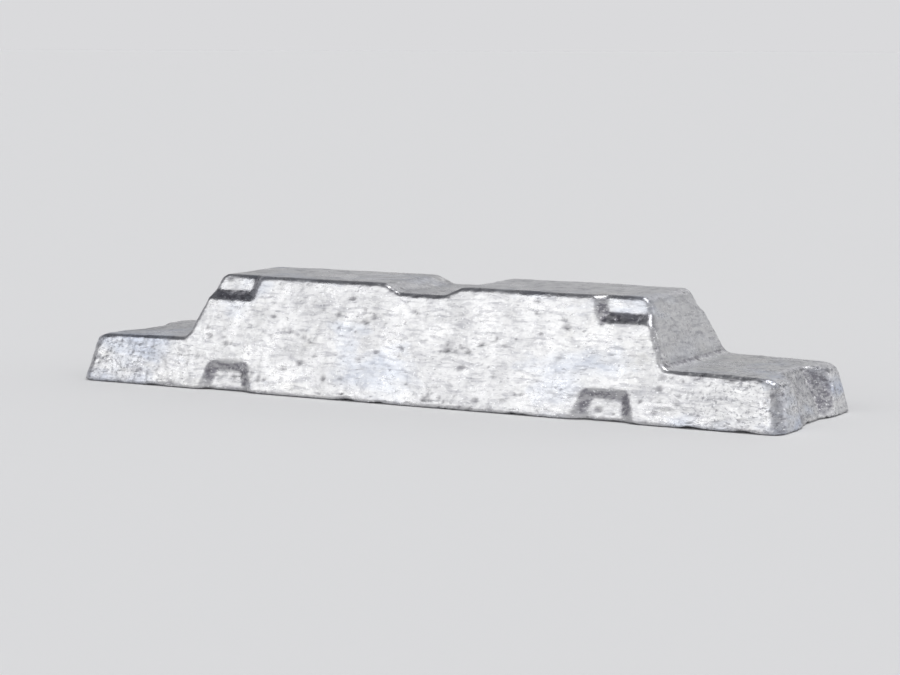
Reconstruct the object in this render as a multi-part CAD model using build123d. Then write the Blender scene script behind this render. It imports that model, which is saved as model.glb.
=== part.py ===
from build123d import *

import os
from math import atan2, cos, degrees, radians, sin, tan

# A 22.5 kg interlocking aluminium ingot, cast in one piece in an open mould.
# It lies on the wide face, which was the open top of the mould. The origin is the middle
# of that face, X runs along the ingot and Z is up.
# The section is a trapezoid. At each end the ingot steps down to a lower ear, whose end
# wall is hollowed between two lugs. The narrow face has a shallow saddle across its
# middle. Each long side has two corner notches at the top and two shallow arched pockets
# at the wide face.

# Overall sizes, in millimetres. Drafts are in degrees from the upright.
length = 720.0  # wide face, end to end
width = 170.0  # wide face, side to side
height = 106.0  # wide face to narrow face
side_draft = 18.0
end_draft = 10.0

# Ears: the lower ends of the ingot, and the shoulders that slope down to them.
ear_reach = 114.0  # from the end of the wide face to the foot of the shoulder
ear_tip_thickness = 45.0
ear_root_thickness = 47.0
tip_bevel = 12.0  # length of the slope that eases the tip
tip_bevel_drop = 4.0
shoulder_draft = 24.0

# Hollow in each end wall, between two lugs that grow narrower as they rise.
lug_base_width = 48.0  # at the wide face
lug_tip_width = 27.0  # at the top of the ear
hollow_base_floor = 38.0  # width of the hollow's floor at the wide face
hollow_tip_floor = 50.0
hollow_base_depth = 5.0  # behind the lugs
hollow_tip_depth = 19.0

# Saddle across the middle of the narrow face.
saddle_mouth = 80.0
saddle_floor = 44.0
saddle_depth = 8.0

# Notches at the four top corners of the long sides.
notch_reach = 190.0  # from the end of the wide face to the notch's inner wall, at the narrow face
notch_drop = 24.0  # down the side from the narrow face
notch_depth = 5.5
notch_wall = 9.0  # width of the sloping wall round its floor
notch_corner = 9.0
recess_lean = 18.0  # how far the end walls of the notches and the pockets lean

# Arched pockets at the wide face, two on each long side.
pocket_reach = 166.0  # from the end of the wide face to the pocket's middle
pocket_width = 61.0  # at the wide face
pocket_height = 28.0  # up the side from the wide face
pocket_depth = 5.5
pocket_side_wall = 10.0  # width of the sloping walls beside its floor
pocket_top_wall = 5.5
pocket_corner = 9.0

# Rounding, as the mould leaves it.
corner_round = 14.0  # upright corners of the ears
lug_round = 9.0  # inner edges of the lugs
hollow_round = 10.0  # inner corners of the hollow
tip_round = 15.0  # where the top of the ear meets its bevel
foot_round = 10.0  # inner corner where the shoulder meets the ear
shoulder_round = 11.0  # where the shoulder meets the narrow face
saddle_round = 14.0
recess_round = 6.0  # round the floors and the mouths of the notches and the pockets
edge_round = 6.0  # the edges round the top, from end to end
rim_round = 2.0  # round the wide face

clear = 5.0  # how far a cutter runs past what it cuts
near = 0.05  # how closely an edge's place has to match when edges are picked


def half_base(size, draft):
    """Half of a size of the wide face, out to the sharp edge that its rim rounds off."""
    return size / 2 + rim_round / tan(radians(90 - draft) / 2) - rim_round


half_length = half_base(length, end_draft)
half_width = half_base(width, side_draft)
side_slope = radians(side_draft)
end_slope = radians(end_draft)
side_run = height / cos(side_slope)  # up a side, from the wide face to the narrow face


def block_section(half, slope):
    """Section of the block, across its base and up to the narrow face."""
    half_top = half - height * tan(slope)
    return make_face(Polyline((-half, 0), (half, 0), (half_top, height), (-half_top, height), close=True))


def drafted_block():
    """The block before it is shaped: drafted sides and ends, and rounded corners."""
    across = extrude(Plane.YZ * block_section(half_width, side_slope), half_length, both=True)
    along = extrude(Plane.XZ * block_section(half_length, end_slope), half_width, both=True)
    block = across & along
    return fillet(rising_edges(block, height), corner_round)


def rising_edges(shape, rise):
    """The edges that climb by just this much."""
    return shape.edges().filter_by(lambda edge: abs(edge.bounding_box().size.Z - rise) < near)


def between(low, high, level):
    """A size that changes evenly from the wide face to the top of the ear's tip."""
    return low + (high - low) * level / ear_tip_thickness


def lug_gap(level):
    """Half of the gap between the lugs at a level."""
    return half_width - level * tan(side_slope) - between(lug_base_width, lug_tip_width, level)


def hollow_outline(level):
    """Plan of the +X end's hollow at a level, with its side walls run on past the lugs."""
    floor = between(hollow_base_floor, hollow_tip_floor, level) / 2
    depth = between(hollow_base_depth, hollow_tip_depth, level)
    lug_x = half_length - level * tan(end_slope)
    past = 2 * lug_gap(level) - floor
    corners = [(lug_x - depth, floor), (lug_x + depth, past), (lug_x + depth, -past), (lug_x - depth, -floor)]
    return Plane.XY.offset(level) * make_face(Polyline(*corners, close=True))


def hollowed(block):
    """Cuts both end hollows, then rounds their inner corners and the lugs beside them."""
    top = ear_root_thickness + clear
    hollow = loft([hollow_outline(-clear / 2), hollow_outline(top)], ruled=True)
    block = block - [hollow, mirror(hollow, Plane.YZ)]
    block = fillet(edges_from(block, top, hollow_base_floor / 2), hollow_round)
    return fillet(edges_from(block, top, lug_gap(0)), lug_round)


def edges_from(block, rise, start):
    """The edges that climb so far and start so far to the side, within the base's own corners."""
    starts = [(edge, min(edge @ 0, edge @ 1, key=lambda end: end.Z)) for edge in rising_edges(block, rise)]
    return [edge for edge, low_end in starts if abs(abs(low_end.Y) - start) < near]


def leaning(start, rise):
    """Where a leaning end wall of a recess is, this far up the side from where it starts."""
    return start - rise * tan(radians(recess_lean))


def sloped(corners, depth, wall):
    """Cutter whose walls slope in from its mouth, by so much over its depth."""
    return extrude(make_face(Polyline(*corners, close=True)), depth, taper=degrees(atan2(wall, depth)))


def on_side(cutter):
    """A cutter with its floor's edges rounded, turned to cut into the +Y side.

    Its X then runs along the ingot and its Y up the side from the wide face.
    """
    side = Plane((0, half_width, 0), x_dir=(1, 0, 0), z_dir=(0, -cos(side_slope), -sin(side_slope)))
    floor = cutter.faces().sort_by(Axis.Z)[-1]
    return side.location * fillet(floor.edges(), recess_round)


def notch_cutter():
    """The +X notch, open at the narrow face and at the shoulder."""
    inner = half_length - notch_reach
    outer = half_length - ear_reach + notch_wall + clear
    low = side_run - notch_drop
    top = side_run + notch_wall + clear
    low_corners = [(leaning(inner, low - side_run), low), (outer, low)]
    top_corners = [(outer, top), (leaning(inner, top - side_run), top)]
    cutter = sloped(low_corners + top_corners, notch_depth, notch_wall)
    low_edges = rising_edges(cutter, notch_depth).sort_by(Axis.Y)[:2]
    return on_side(fillet(low_edges.sort_by(Axis.X)[0], notch_corner))


def pocket_cutter():
    """The +X arched pocket, open at the wide face."""
    middle = half_length - pocket_reach
    low = -pocket_side_wall - clear
    above = pocket_height + pocket_side_wall
    low_half = leaning(pocket_width / 2, low)
    above_half = leaning(pocket_width / 2, above)
    low_corners = [(middle - low_half, low), (middle + low_half, low)]
    above_corners = [(middle + above_half, above), (middle - above_half, above)]
    beside = sloped(low_corners + above_corners, pocket_depth, pocket_side_wall)
    left = middle - pocket_width
    right = middle + pocket_width
    top = pocket_height
    below = sloped([(left, low), (right, low), (right, top), (left, top)], pocket_depth, pocket_top_wall)
    cutter = beside & below
    top_edges = rising_edges(cutter, pocket_depth).sort_by(Axis.Y)[2:]
    return on_side(fillet(top_edges, pocket_corner))


def recessed(block):
    """Cuts the notches and the pockets in both sides and rounds their mouths."""
    cutters = [notch_cutter(), pocket_cutter()]
    cutters += [mirror(cutter, Plane.YZ) for cutter in cutters]
    cutters += [mirror(cutter, Plane.XZ) for cutter in cutters]
    block = block - cutters
    return fillet([edge for edge in block.edges() if is_mouth(edge)], recess_round)


def is_mouth(edge):
    """Whether an edge lies in a side of the block, away from the side's own four edges."""
    span = edge.bounding_box()
    if span.max.Z < near or span.min.Z > height - near or span.size.Z > height - near:
        return False
    places = (edge @ 0, edge @ 0.5, edge @ 1)
    return all(abs(abs(at.Y) + at.Z * tan(side_slope) - half_width) < near for at in places)


def side_profile():
    """The ingot seen from its long side: saddle, shoulders and the tops of the ears."""
    foot_x = half_length - ear_reach
    shoulder_x = foot_x - (height - ear_root_thickness) * tan(radians(shoulder_draft))
    bevel_x = half_length - ear_tip_thickness * tan(end_slope) - tip_bevel
    past_x = half_length + clear
    past_z = ear_tip_thickness - tip_bevel_drop / tip_bevel * (past_x - bevel_x)
    rounded = [
        (saddle_floor / 2, height - saddle_depth, saddle_round),
        (saddle_mouth / 2, height, saddle_round),
        (shoulder_x, height, shoulder_round),
        (foot_x, ear_root_thickness, foot_round),
        (bevel_x, ear_tip_thickness, tip_round),
    ]
    right = [(x, z) for x, z, radius in rounded] + [(past_x, past_z), (past_x, -clear)]
    left = [(-x, z) for x, z in reversed(right)]
    profile = make_face(Polyline(*right, *left, close=True))
    for x, z, radius in rounded:
        corners = [at for at in profile.vertices() if abs(abs(at.X) - x) < near and abs(at.Y - z) < near]
        profile = fillet(corners, radius)
    return profile


def shaped(block):
    """Cuts the block to its side profile and rounds the edges at its top and its base."""
    block = block & extrude(Plane.XZ * side_profile(), half_width + clear, both=True)
    saddle_edges = [edge for edge in block.edges() if is_saddle_edge(edge)]
    block = fillet(saddle_edges, edge_round)  # it runs on round both ears, as no corner is sharp
    rim = [edge for edge in block.edges() if edge.bounding_box().max.Z < near]
    return fillet(rim, rim_round)


def is_saddle_edge(edge):
    """Whether an edge is one of the two long edges of the saddle's floor."""
    return abs(edge.center().X) < near and abs(edge.center().Z - height + saddle_depth) < near


if __name__ == "__main__":
    os.makedirs("parts", exist_ok=True)
    ingot = shaped(recessed(hollowed(drafted_block())))
    export_step(ingot, "parts/ingot.step")
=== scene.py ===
import math
import bpy
import numpy as np
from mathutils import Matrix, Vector, kdtree, noise


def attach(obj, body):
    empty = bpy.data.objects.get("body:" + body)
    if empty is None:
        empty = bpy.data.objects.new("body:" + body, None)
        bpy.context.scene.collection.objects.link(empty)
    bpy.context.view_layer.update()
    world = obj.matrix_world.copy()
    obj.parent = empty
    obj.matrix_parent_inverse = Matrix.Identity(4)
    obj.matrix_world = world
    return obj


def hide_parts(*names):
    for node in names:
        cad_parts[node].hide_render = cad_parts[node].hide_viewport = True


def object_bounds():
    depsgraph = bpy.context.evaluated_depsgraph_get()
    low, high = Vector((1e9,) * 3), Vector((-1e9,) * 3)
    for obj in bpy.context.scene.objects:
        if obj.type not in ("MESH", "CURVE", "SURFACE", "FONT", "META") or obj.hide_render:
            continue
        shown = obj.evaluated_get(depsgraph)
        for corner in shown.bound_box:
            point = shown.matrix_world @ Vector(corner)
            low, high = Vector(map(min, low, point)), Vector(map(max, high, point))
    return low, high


# A cast aluminium ingot lying on its wide face. The shape comes from the frame, and this
# script gives it the skin that the iron mould and the open air left on it.

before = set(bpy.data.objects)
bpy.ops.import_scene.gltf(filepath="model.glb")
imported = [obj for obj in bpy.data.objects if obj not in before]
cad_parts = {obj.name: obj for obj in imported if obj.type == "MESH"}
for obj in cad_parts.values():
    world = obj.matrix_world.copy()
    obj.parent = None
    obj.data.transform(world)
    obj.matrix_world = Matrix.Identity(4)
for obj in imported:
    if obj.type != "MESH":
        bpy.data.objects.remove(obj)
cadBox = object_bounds()
mm = 0.001
print("frame loaded")


# small helpers

def linear(hexColour):
    # sRGB hex to the linear values that a shader works in
    values = [int(hexColour[i:i + 2], 16) / 255 for i in (1, 3, 5)]
    return [v / 12.92 if v <= 0.04045 else ((v + 0.055) / 1.055) ** 2.4 for v in values] + [1.0]


def addNode(tree, kind, settings={}, links={}, output=0):
    # settings go to the node or to its inputs, links to its inputs; gives back one of its outputs
    node = tree.nodes.new(kind)
    for name, value in settings.items():
        if isinstance(name, str) and hasattr(node, name):
            setattr(node, name, value)
        else:
            node.inputs[name].default_value = value
    for name, socket in links.items():
        tree.links.new(socket, node.inputs[name])
    return node.outputs[output] if len(node.outputs) else node


def smoothStep(low, high, values):
    # 0 up to low, 1 from high on, and an easy curve between
    t = np.clip((values - low) / (high - low), 0, 1)
    return t * t * (3 - 2 * t)


def noiseAt(points, sizesInMm, seed):
    # smooth noise, about -1 to 1, with its own feature size along each axis
    apart = Vector((seed * 17.3, seed * 5.1, seed * 9.7))  # so that no two seeds look alike
    toOne = 1.6  # the plain noise mostly stays within about 0.6
    scaled = points / (np.array(sizesInMm) * mm)
    return np.array([noise.noise(Vector(place) + apart) for place in scaled.tolist()]) * toOne


# the ingot's body: the solid's own shape, with the relief that casting gives it

# Sizes are in mm and drafts in degrees. A pair is a range, or where something starts and where it is
# full, and three are along X, Y and Z.
ingot = dict(
    node="ingot",
    seed=11,
    voxel=2.1,                                  # the skin's quads, fine enough for the larger pits
    inset=0.35, proud=0.25,                     # how deep the skin's middle lies, how far it may stand out

    # the mould's walls, and how squarely a point has to face like one to count as part of it
    sideDraft=18, endDraft=10, shoulderDraft=24, hollowDraft=26,
    wallFacing=(0.95, 0.99), anyFacing=(0.955, 0.992), underFacing=(0.6, 0.95),
    edgeBulge=(0.03, 0.06), bulgeRounds=8,      # tells outer edges from the slopes of the recesses
    gentleSlopeCut=0.7, gentleFacing=(0.8, 0.9),    # the saddle's gentle slopes count less as recess wall, so they get less painted shade and less grain
    earSkin=(210, 320),                         # from the middle, where the ears' rougher skin starts
    calmer=0.6,                                 # how much smoother the tops and the shoulders are

    # relief of the mould's walls
    swell=0.4, swellSize=85,                    # slow unevenness
    dent=0.14, dentSize=28,                     # shallow hollows where the mould's coat was patched
    grain=0.24, grainSize=6.5, halfGrain=0.6,   # rough mould skin, and its share at half the size
    earGrain=0.24,                              # more of it towards the ends
    lap=0.36, lapLength=38, lapHeight=5,        # ripples left as the metal rose
    lapPatch=(60, 60, 30), lapShown=(-0.5, 0.6),  # patches that have them, by the level of their noise
    endLap=0.6,                                 # their share on the ends
    lapBase=1.35, lapFade=100,                  # their share at the foot, and the climb that takes 1 off

    # gas pits, alone and in clusters, longer along the ingot than they are tall
    pits=560, pitRadius=(1.2, 3.3), pitStretch=(1.0, 2.4), pitDeep=0.9, pitShare=(0.35, 1.0),
    pitClusters=48, clusterSize=11, clusterShape=(1, 0.4, 0.4), clusterPits=(3, 8),

    # the open face, which shrank as it set, and the lip that froze to the mould's edge
    dish=1.6, dishAcross=4, dishAlong=8,        # its depth, and how late it rises to the rim (powers)
    wrinkle=0.5, wrinkleSize=(15, 33, 40),
    rimNick=0.9, rimNickSize=(8, 8, 30), rimTall=6,  # nicks, low on the walls
    rimWave=2.5, rimWaveSize=23, rimWide=8,     # where the lip froze short of the mould's edge
    rimRough=0.5,                               # how much of the nicks that line takes on
)


def readMesh(mesh):
    points = np.empty(len(mesh.vertices) * 3)
    mesh.vertices.foreach_get("co", points)
    normals = np.empty(len(mesh.vertices) * 3)
    mesh.vertex_normals.foreach_get("vector", normals)
    pairs = np.empty(len(mesh.edges) * 2, dtype=int)
    mesh.edges.foreach_get("vertices", pairs)
    return points.reshape(-1, 3), normals.reshape(-1, 3), pairs.reshape(-1, 2)


def spreadOut(values, pairs, rounds):
    # each round averages every point with its neighbours
    ends = np.concatenate([pairs[:, 0], pairs[:, 1]])
    others = np.concatenate([pairs[:, 1], pairs[:, 0]])
    counts = np.bincount(ends) + 1
    for _ in range(rounds):
        values = (values + np.bincount(ends, weights=values[others])) / counts
    return values


def bulge(points, normals, pairs, rounds):
    # how sharply the skin turns outwards round each point: 0 where flat, below 0 in a hollow
    step = points[pairs[:, 1]] - points[pairs[:, 0]]
    swing = normals[pairs[:, 1]] - normals[pairs[:, 0]]
    turn = np.einsum("ij,ij->i", step, swing) / np.linalg.norm(step, axis=1)
    perPoint = np.bincount(pairs.ravel(), weights=np.repeat(turn, 2)) / np.bincount(pairs.ravel())
    return spreadOut(perPoint, pairs, rounds)


def fineCopy(node, voxel):
    # an even skin of small quads over the solid, so that relief can be pressed into it
    rough = bpy.data.objects.new("rough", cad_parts[node].data.copy())
    bpy.context.scene.collection.objects.link(rough)
    remesh = rough.modifiers.new("even", "REMESH")
    remesh.mode = "VOXEL"
    remesh.voxel_size = voxel * mm
    graph = bpy.context.evaluated_depsgraph_get()
    mesh = bpy.data.meshes.new_from_object(rough.evaluated_get(graph))
    bpy.data.objects.remove(rough)
    mesh.materials.clear()
    return mesh


def faceMasks(points, normals, pairs, shape):
    # how surely each point lies on one of the mould's walls, on a slope between them or on an edge
    def facing(axis, draft):
        slope = math.radians(draft)
        return np.abs(normals[:, axis]) * math.cos(slope) + normals[:, 2] * math.sin(slope)

    side = facing(1, shape["sideDraft"])
    end = np.maximum(facing(0, shape["endDraft"]), facing(0, shape["hollowDraft"]))
    shoulder = facing(0, shape["shoulderDraft"])
    top = normals[:, 2]
    under = -normals[:, 2]
    slanting = 1 - smoothStep(*shape["anyFacing"], np.max([side, end, shoulder, top, under], axis=0))
    outer = smoothStep(*shape["edgeBulge"], bulge(points, normals, pairs, shape["bulgeRounds"]))
    return dict(
        side=smoothStep(*shape["wallFacing"], side),
        end=smoothStep(*shape["wallFacing"], end),
        calm=smoothStep(*shape["wallFacing"], np.maximum(top, shoulder)),
        open=smoothStep(*shape["underFacing"], under),
        wall=slanting * (1 - outer) * (1 - shape["gentleSlopeCut"] * smoothStep(*shape["gentleFacing"], top)),
        edge=slanting * outer,
        ear=smoothStep(*shape["earSkin"], np.abs(points[:, 0]) / mm),
    )


def mouldRelief(points, masks, shape):
    # how far the mould's walls stand in and out, in mm: swell, grain and lap ripples
    seed = shape["seed"]
    swell = noiseAt(points, [shape["swellSize"]] * 3, seed) * shape["swell"]
    swell += noiseAt(points, [shape["dentSize"]] * 3, seed + 7) * shape["dent"]
    grain = noiseAt(points, [shape["grainSize"]] * 3, seed + 1)
    grain += shape["halfGrain"] * noiseAt(points, [shape["grainSize"] / 2] * 3, seed + 2)
    grain *= shape["grain"] + shape["earGrain"] * np.maximum(masks["ear"], masks["wall"])
    grain *= 1 - shape["calmer"] * masks["calm"]
    patches = smoothStep(*shape["lapShown"], noiseAt(points, shape["lapPatch"], seed + 3))
    lap = noiseAt(points, [shape["lapLength"], shape["lapLength"], shape["lapHeight"]], seed + 4)
    lowDown = shape["lapBase"] - points[:, 2] / mm / shape["lapFade"]
    lap *= shape["lap"] * patches * (masks["side"] + shape["endLap"] * masks["end"]) * lowDown
    return swell + grain + lap


def pitDepths(points, shape):
    # how deep the gas pits are at each point, in mm
    generator = np.random.default_rng(shape["seed"])
    tree = kdtree.KDTree(len(points))
    for i, place in enumerate(points.tolist()):
        tree.insert(place, i)
    tree.balance()
    centres = list(points[generator.integers(0, len(points), shape["pits"])])
    for middle in points[generator.integers(0, len(points), shape["pitClusters"])]:
        for _ in range(generator.integers(*shape["clusterPits"], endpoint=True)):
            offset = generator.normal(0, shape["clusterSize"] * mm, 3) * shape["clusterShape"]
            centres.append(middle + offset)
    depth = np.zeros(len(points))
    for centre in centres:
        radius = generator.uniform(*shape["pitRadius"]) * mm
        stretch = generator.uniform(*shape["pitStretch"])
        deep = shape["pitDeep"] * generator.uniform(*shape["pitShare"])
        nearest = tree.find(centre.tolist())[0]
        for place, i, _ in tree.find_range(nearest, radius * stretch):
            away = (place - nearest) / radius
            reach = (away.x / stretch) ** 2 + away.y ** 2 + away.z ** 2
            if reach < 1:
                depth[i] = max(depth[i], deep * (1 - reach) ** 2)
    return depth


def openDish(points, shape):
    # how far the open face sank, in mm, with its shrinkage wrinkles
    wrinkle = noiseAt(points, shape["wrinkleSize"], shape["seed"] + 5)
    wrinkle = (1 - np.abs(wrinkle)) * shape["wrinkle"]
    across = 1 - (points[:, 1] / cadBox[1][1]) ** shape["dishAcross"]
    along = 1 - (points[:, 0] / cadBox[1][0]) ** shape["dishAlong"]
    return np.clip(across, 0, 1) * np.clip(along, 0, 1) * (shape["dish"] + wrinkle)


def rimNicks(points, shape):
    # small unevenness low on the walls, in mm
    nick = noiseAt(points, shape["rimNickSize"], shape["seed"] + 6)
    return nick * (shape["rimNick"] * (1 - smoothStep(0, shape["rimTall"], points[:, 2] / mm)))


def liftRim(points, solid, nick, shape):
    # lifts the lip where it froze short, and brings the lowest point back to the floor
    rimGap = np.minimum(cadBox[1][1] - np.abs(solid[:, 1]), cadBox[1][0] - np.abs(solid[:, 0])) / mm
    short = noiseAt(points, [shape["rimWaveSize"]] * 3, shape["seed"] + 8) + shape["rimRough"] * nick
    short = np.clip(short, 0, None) * shape["rimWave"] * (1 - smoothStep(0, shape["rimWide"], rimGap))
    foot = 1 - smoothStep(0, shape["rimTall"] * 2, solid[:, 2] / mm)
    points[:, 2] += (short * mm - points[:, 2].min()) * foot


def castBody(shape):
    mesh = fineCopy(shape["node"], shape["voxel"])
    solid, normals, pairs = readMesh(mesh)
    masks = faceMasks(solid, normals, pairs, shape)
    nick = rimNicks(solid, shape)
    pits = pitDepths(solid, shape) * (1 - shape["calmer"] * masks["calm"])
    relief = (mouldRelief(solid, masks, shape) + nick) * (1 - masks["open"])
    move = np.minimum(relief - shape["inset"], shape["proud"]) - pits
    points = solid + normals * (move * mm)[:, None]
    points[:, 2] += masks["open"] * openDish(solid, shape) * mm
    liftRim(points, solid, nick, shape)
    points = np.clip(points, *cadBox)  # nothing stands out of the solid's own box
    mesh.vertices.foreach_set("co", points.ravel())
    masks["pit"] = pits / shape["pitDeep"]
    for name in ("wall", "edge", "open", "ear", "calm", "pit"):  # the ones that the material reads
        mesh.attributes.new(name, "FLOAT", "POINT").data.foreach_set("value", masks[name])
    mesh.shade_smooth()
    mesh.update()
    piece = bpy.data.objects.new("cast_ingot", mesh)
    bpy.context.scene.collection.objects.link(piece)
    return piece


body = castBody(ingot)
print("body cast:", len(body.data.polygons), "faces")


# as-cast primary aluminium: poured in an open iron mould, never machined or brushed. It gives
# a dull silver with a sparkling, slightly blue grain, darker in its pits; its recess walls and edges carry
# painted shade.
# The real grain is under a millimetre, too fine to show, so the smallest patterns are 1.3 to 2.6 mm.

castAluminium = dict(
    silver="#E1E1E1",
    # a coat is all over, or where the body was marked; a mottled one has its size along and up in mm,
    # and the noise levels between which it comes in
    coats=[
        dict(colour="#B7B7BA", strength=0.25, size=(60, 34), levels=(0.42, 0.68)),  # duller skin
        dict(colour="#ACACB1", strength=0.45, size=(8, 4), levels=(0.47, 0.63)),
        dict(colour="#AEBDDA", strength=0.45, size=(80, 45), levels=(0.52, 0.66), where="ear"),  # blue oxide
        dict(colour="#C0CDE4", strength=0.32, size=(110, 50), levels=(0.54, 0.66)),
        dict(colour="#DAD8CA", strength=0.3, size=(120, 60), levels=(0.54, 0.70)),  # faint warm tint
        dict(colour="#C2C3C6", strength=1.0, where="open"),  # dull open face
        dict(colour="#8A8890", strength=0.45, where="wall"),  # painted shade on the recess walls
        # more painted shade on the recess walls, mottled
        dict(colour="#7E7C84", strength=0.85, size=(5.5, 3.4), levels=(0.43, 0.58), where="wall"),
        # painted shade along the rounded outer edges
        dict(colour="#8E8D94", strength=0.35, where="edge"),
        dict(colour="#96969D", strength=0.45, size=(20, 2.6), levels=(0.54, 0.66)),  # lap lines
        dict(colour="#7F7F85", strength=0.7, size=(3.6, 2.4), levels=(0.53, 0.64), where="ear"),
        dict(colour="#727178", strength=0.55, size=(5, 1.8), levels=(0.62, 0.70)),  # dark flecks
        dict(colour="#F2F3F4", strength=0.9, size=(2.6, 1.8), levels=(0.60, 0.68)),  # bright grains
        dict(colour="#6C6A70", strength=0.8, where="pit"),
    ],
    # size along and up in mm, height in mm, and the share of it that the calm faces lack
    relief=[
        dict(size=(1.3, 1.3), height=0.1, calm=0.0),
        dict(size=(3.2, 2.6), height=0.28, calm=0.3),
        dict(size=(7, 5.5), height=0.28, calm=0.6),
        dict(size=(20, 3.6), height=0.24, calm=0.8),  # lap lines
    ],
    roughness=(0.24, 0.4), roughnessSize=(30, 30), roughnessLevels=(0.35, 0.65),
    waveSize=38, waveReach=9, waveDetail=2.0,  # mm, how far the lap lines stray
    skin={"Detail": 4.0, "Roughness": 0.55, "Distortion": 0.3},  # how every pattern is broken up
    coatShift=0.37, reliefShift=0.41, reliefFrom=5, roughnessShift=9.0,  # so that no two patterns line up
)


def strayingPlace(tree, look):
    # where a point is, pushed about a little, so that no line in the skin runs straight
    place = addNode(tree, "ShaderNodeTexCoord", output="Object")
    waves = {"Scale": 1 / (look["waveSize"] * mm), "Detail": look["waveDetail"]}
    stray = addNode(tree, "ShaderNodeTexNoise", waves, {"Vector": place}, output="Color")
    reach = look["waveReach"] * mm
    push = {"operation": "MULTIPLY_ADD", 1: (reach, reach, reach)}
    return addNode(tree, "ShaderNodeVectorMath", push, {0: stray, 2: place})


def skinPattern(tree, place, look, size, shift):
    # the mould's texture, with one feature about this many millimetres along and up
    along, up = size
    stretch = {"Location": (shift, shift, shift), "Scale": (1 / along, 1 / along, 1 / up)}
    stretched = addNode(tree, "ShaderNodeMapping", stretch, {"Vector": place})
    return addNode(tree, "ShaderNodeTexNoise", {"Scale": 1 / mm, **look["skin"]}, {"Vector": stretched})


def coatShown(tree, place, look, coat, shift):
    # how much of a coat shows: its strength, where the body is marked for it, where its pattern is
    shares = []
    if "where" in coat:
        shares.append(addNode(tree, "ShaderNodeAttribute", {"attribute_name": coat["where"]}, output="Fac"))
    if "size" in coat:
        low, high = coat["levels"]
        pattern = skinPattern(tree, place, look, coat["size"], shift)
        levels = {"From Min": low, "From Max": high}
        shares.append(addNode(tree, "ShaderNodeMapRange", levels, {"Value": pattern}))
    shown = shares[0]
    for share in shares[1:]:
        shown = addNode(tree, "ShaderNodeMath", {"operation": "MULTIPLY"}, {0: shown, 1: share})
    return addNode(tree, "ShaderNodeMath", {"operation": "MULTIPLY", 1: coat["strength"]}, {0: shown})


def coatedColour(tree, place, look):
    # silver under all its coats; 6 and 7 are the two colours that a mix takes, and 2 is what it gives
    colour = None
    for i, coat in enumerate(look["coats"]):
        settings = {"data_type": "RGBA", 7: linear(coat["colour"])}
        links = {"Factor": coatShown(tree, place, look, coat, i * look["coatShift"])}
        if colour is None:
            settings[6] = linear(look["silver"])
        else:
            links[6] = colour
        colour = addNode(tree, "ShaderNodeMix", settings, links, output=2)
    return colour


def fineRelief(tree, place, look):
    # the low relief that the body's own mesh leaves out, one layer of bump on the other
    normal = None
    calm = addNode(tree, "ShaderNodeAttribute", {"attribute_name": "calm"}, output="Fac")
    for i, layer in enumerate(look["relief"]):
        shift = look["reliefFrom"] + i * look["reliefShift"]
        links = {"Height": skinPattern(tree, place, look, layer["size"], shift)}
        if normal is not None:
            links["Normal"] = normal
        if layer["calm"] > 0:
            kept = {"To Min": 1.0, "To Max": 1 - layer["calm"]}
            links["Strength"] = addNode(tree, "ShaderNodeMapRange", kept, {"Value": calm})
        normal = addNode(tree, "ShaderNodeBump", {"Distance": layer["height"] * mm}, links)
    return normal


def patchyRoughness(tree, place, look):
    low, high = look["roughnessLevels"]
    smooth, rough = look["roughness"]
    pattern = skinPattern(tree, place, look, look["roughnessSize"], look["roughnessShift"])
    spread = {"From Min": low, "From Max": high, "To Min": smooth, "To Max": rough}
    return addNode(tree, "ShaderNodeMapRange", spread, {"Value": pattern})


def castAluminiumMaterial(look):
    material = bpy.data.materials.new("cast_aluminium")
    material.use_nodes = True
    tree = material.node_tree
    tree.nodes.clear()
    place = strayingPlace(tree, look)
    finish = {
        "Base Color": coatedColour(tree, place, look),
        "Roughness": patchyRoughness(tree, place, look),
        "Normal": fineRelief(tree, place, look),
    }
    shader = addNode(tree, "ShaderNodeBsdfPrincipled", {"Metallic": 1.0}, finish)
    addNode(tree, "ShaderNodeOutputMaterial", {}, {"Surface": shader})
    return material


body.data.materials.append(castAluminiumMaterial(castAluminium))
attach(body, "root")
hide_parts(ingot["node"])
print("material on")


# studio: a pale floor that runs into the backdrop, and broad soft lights all round

studio = dict(
    floor="#ECECEC", floorSize=120.0, floorFinish={"Roughness": 0.9, "Specular IOR Level": 0.0},
    worldLow="#DADADC", worldHigh="#6C6D72",
    worldRise=(0.02, 0.65),  # between which the low colour gives way to the high one; straight up is 1
    suns=[  # degrees: turn to the right of the front, rise above the floor, angle how broad its disc is
        dict(name="key", strength=0.42, angle=40, turn=-31, rise=28),
        dict(name="front", strength=0.4, angle=60, turn=14, rise=38),
        dict(name="right", strength=0.35, angle=60, turn=95, rise=42),
        dict(name="overhead", strength=1.06, angle=30, turn=110, rise=80),
        dict(name="back", strength=0.25, angle=40, turn=180, rise=38),
        dict(name="backRight", strength=0.18, angle=36, turn=126, rise=15),
    ],
    cameraTurn=29, cameraRise=6.8, cameraDistance=2.3, cameraLens=100,  # degrees, metres, mm
)


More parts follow.
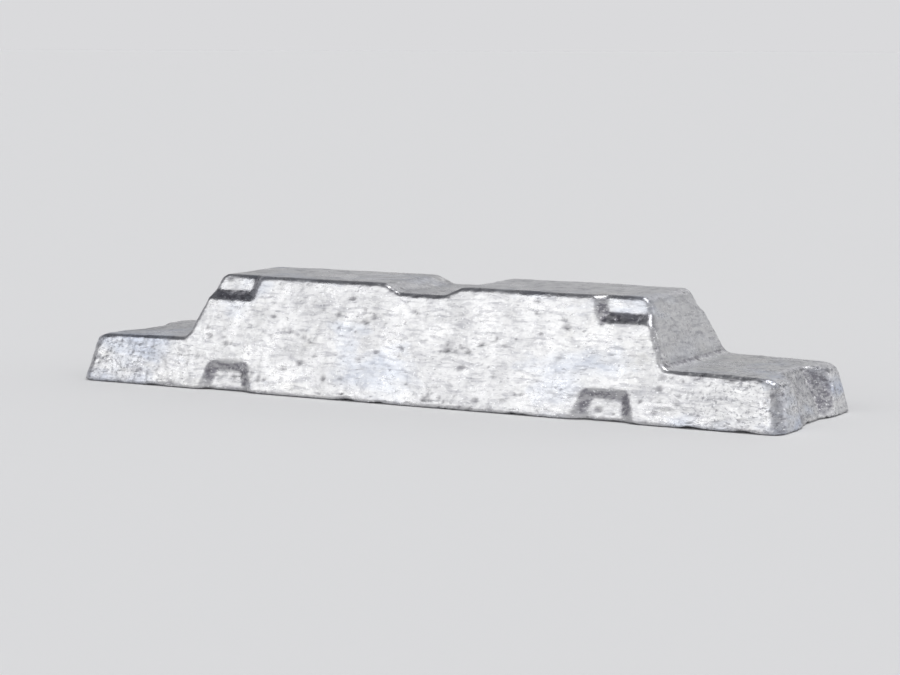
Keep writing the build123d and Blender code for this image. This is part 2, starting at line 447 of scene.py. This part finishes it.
def addFloor(setup):
    half = setup["floorSize"] / 2
    corners = [(-half, -half, 0), (half, -half, 0), (half, half, 0), (-half, half, 0)]
    mesh = bpy.data.meshes.new("floor")
    mesh.from_pydata(corners, [], [(0, 1, 2, 3)])
    floor = bpy.data.objects.new("floor", mesh)
    bpy.context.scene.collection.objects.link(floor)
    material = bpy.data.materials.new("studio_floor")
    material.use_nodes = True
    tree = material.node_tree
    tree.nodes.clear()
    shader = addNode(tree, "ShaderNodeBsdfPrincipled",
                     {"Base Color": linear(setup["floor"]), **setup["floorFinish"]})
    addNode(tree, "ShaderNodeOutputMaterial", {}, {"Surface": shader})
    mesh.materials.append(material)


def addWorld(setup):
    world = bpy.data.worlds.new("studio")
    bpy.context.scene.world = world
    world.use_nodes = True
    tree = world.node_tree
    tree.nodes.clear()
    place = addNode(tree, "ShaderNodeTexCoord", output="Generated")
    rise = addNode(tree, "ShaderNodeSeparateXYZ", {}, {"Vector": place}, output="Z")
    low, high = setup["worldRise"]
    ramp = addNode(tree, "ShaderNodeMapRange",
                   {"interpolation_type": "SMOOTHSTEP", "From Min": low, "From Max": high}, {"Value": rise})
    colours = {"data_type": "RGBA", 6: linear(setup["worldLow"]), 7: linear(setup["worldHigh"])}
    colour = addNode(tree, "ShaderNodeMix", colours, {"Factor": ramp}, output=2)
    back = addNode(tree, "ShaderNodeBackground", {"Strength": 1.0}, {"Color": colour})
    addNode(tree, "ShaderNodeOutputWorld", {}, {"Surface": back})


def awayTo(turn, rise):
    # the way out from the object: turn to the right of the front, rise above the floor, in degrees
    turn, rise = math.radians(turn), math.radians(rise)
    return Vector((math.sin(turn) * math.cos(rise), -math.cos(turn) * math.cos(rise), math.sin(rise)))


def addSun(sun):
    light = bpy.data.lights.new(sun["name"], "SUN")
    light.energy = sun["strength"]
    light.angle = math.radians(sun["angle"])
    lamp = bpy.data.objects.new(sun["name"], light)
    lamp.rotation_euler = awayTo(sun["turn"], sun["rise"]).to_track_quat("Z", "Y").to_euler()
    bpy.context.scene.collection.objects.link(lamp)


def addCamera(setup, target):
    data = bpy.data.cameras.new("camera")
    data.lens = setup["cameraLens"]
    camera = bpy.data.objects.new("camera", data)
    away = awayTo(setup["cameraTurn"], setup["cameraRise"])
    camera.location = target + away * setup["cameraDistance"]
    camera.rotation_euler = away.to_track_quat("Z", "Y").to_euler()
    bpy.context.scene.collection.objects.link(camera)
    bpy.context.scene.camera = camera


addFloor(studio)
addWorld(studio)
for sun in studio["suns"]:
    addSun(sun)
addCamera(studio, Vector((0, 0, cadBox[1][2] / 2)))
bpy.context.scene.view_settings.view_transform = "Standard"
print("studio lit")
